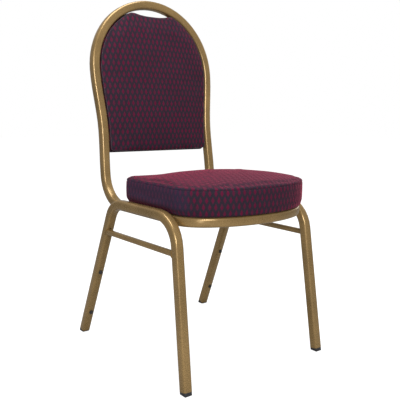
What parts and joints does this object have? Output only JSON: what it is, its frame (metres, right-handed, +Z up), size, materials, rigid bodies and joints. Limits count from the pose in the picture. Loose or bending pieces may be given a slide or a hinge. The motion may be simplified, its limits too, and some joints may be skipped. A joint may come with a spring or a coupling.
{
  "type": "stacking chair",
  "caption": "Armless stacking banquet chair: splayed square-tube legs, bow-fronted padded seat, and an arched hoop back holding a pad with a hand-hold above it.",
  "frame": {"origin": "centre of the chair's bounding box, on the floor", "axes": "+Z up; -Y the way the sitter faces; +X towards the sitter's left; nodes named left lie on +X"},
  "size_m": [0.4704, 0.5534, 0.9686],
  "materials": {
    "frame_steel": "antique gold powder coat, satin metallic, fine orange peel, brighter on worn edges",
    "cloth": "jacquard weave, crimson diamonds on a charcoal navy ground",
    "foam": "open-cell polyurethane foam, out of sight",
    "plywood": "raw plywood, cut edges",
    "lining": "black non-woven lining",
    "glide_plastic": "moulded black nylon, matt",
    "bumper_rubber": "moulded black rubber",
    "zinc": "bright zinc plate"
  },
  "bodies": {
    "root": {"back_board": "plywood", "back_cover": "cloth", "back_foam": "foam", "back_hoop": "frame_steel", "back_rear_panel": "cloth", "back_screw_lower_left": "zinc", "back_screw_lower_right": "zinc", "back_screw_upper_left": "zinc", "back_screw_upper_right": "zinc", "back_tab_lower_left": "frame_steel", "back_tab_lower_right": "frame_steel", "back_tab_upper_left": "frame_steel", "back_tab_upper_right": "frame_steel", "glide_front_left": "glide_plastic", "glide_front_right": "glide_plastic", "glide_rear_left": "glide_plastic", "glide_rear_right": "glide_plastic", "leg_frame_left": "frame_steel", "leg_frame_right": "frame_steel", "seat_board": "plywood", "seat_brace_front": "frame_steel", "seat_brace_rear": "frame_steel", "seat_cover": "cloth", "seat_dust_cover": "lining", "seat_foam": "foam", "seat_loop": "frame_steel", "seat_screw_front_left": "zinc", "seat_screw_front_right": "zinc", "seat_screw_rear_left": "zinc", "seat_screw_rear_right": "zinc", "side_stretcher_left": "frame_steel", "side_stretcher_right": "frame_steel", "stack_bumper_lower_left": "bumper_rubber", "stack_bumper_lower_right": "bumper_rubber", "stack_bumper_upper_left": "bumper_rubber", "stack_bumper_upper_right": "bumper_rubber", "weld_spacer_front_left": "frame_steel", "weld_spacer_front_right": "frame_steel", "weld_spacer_rear_left": "frame_steel", "weld_spacer_rear_right": "frame_steel"}
  },
  "joints": []
}
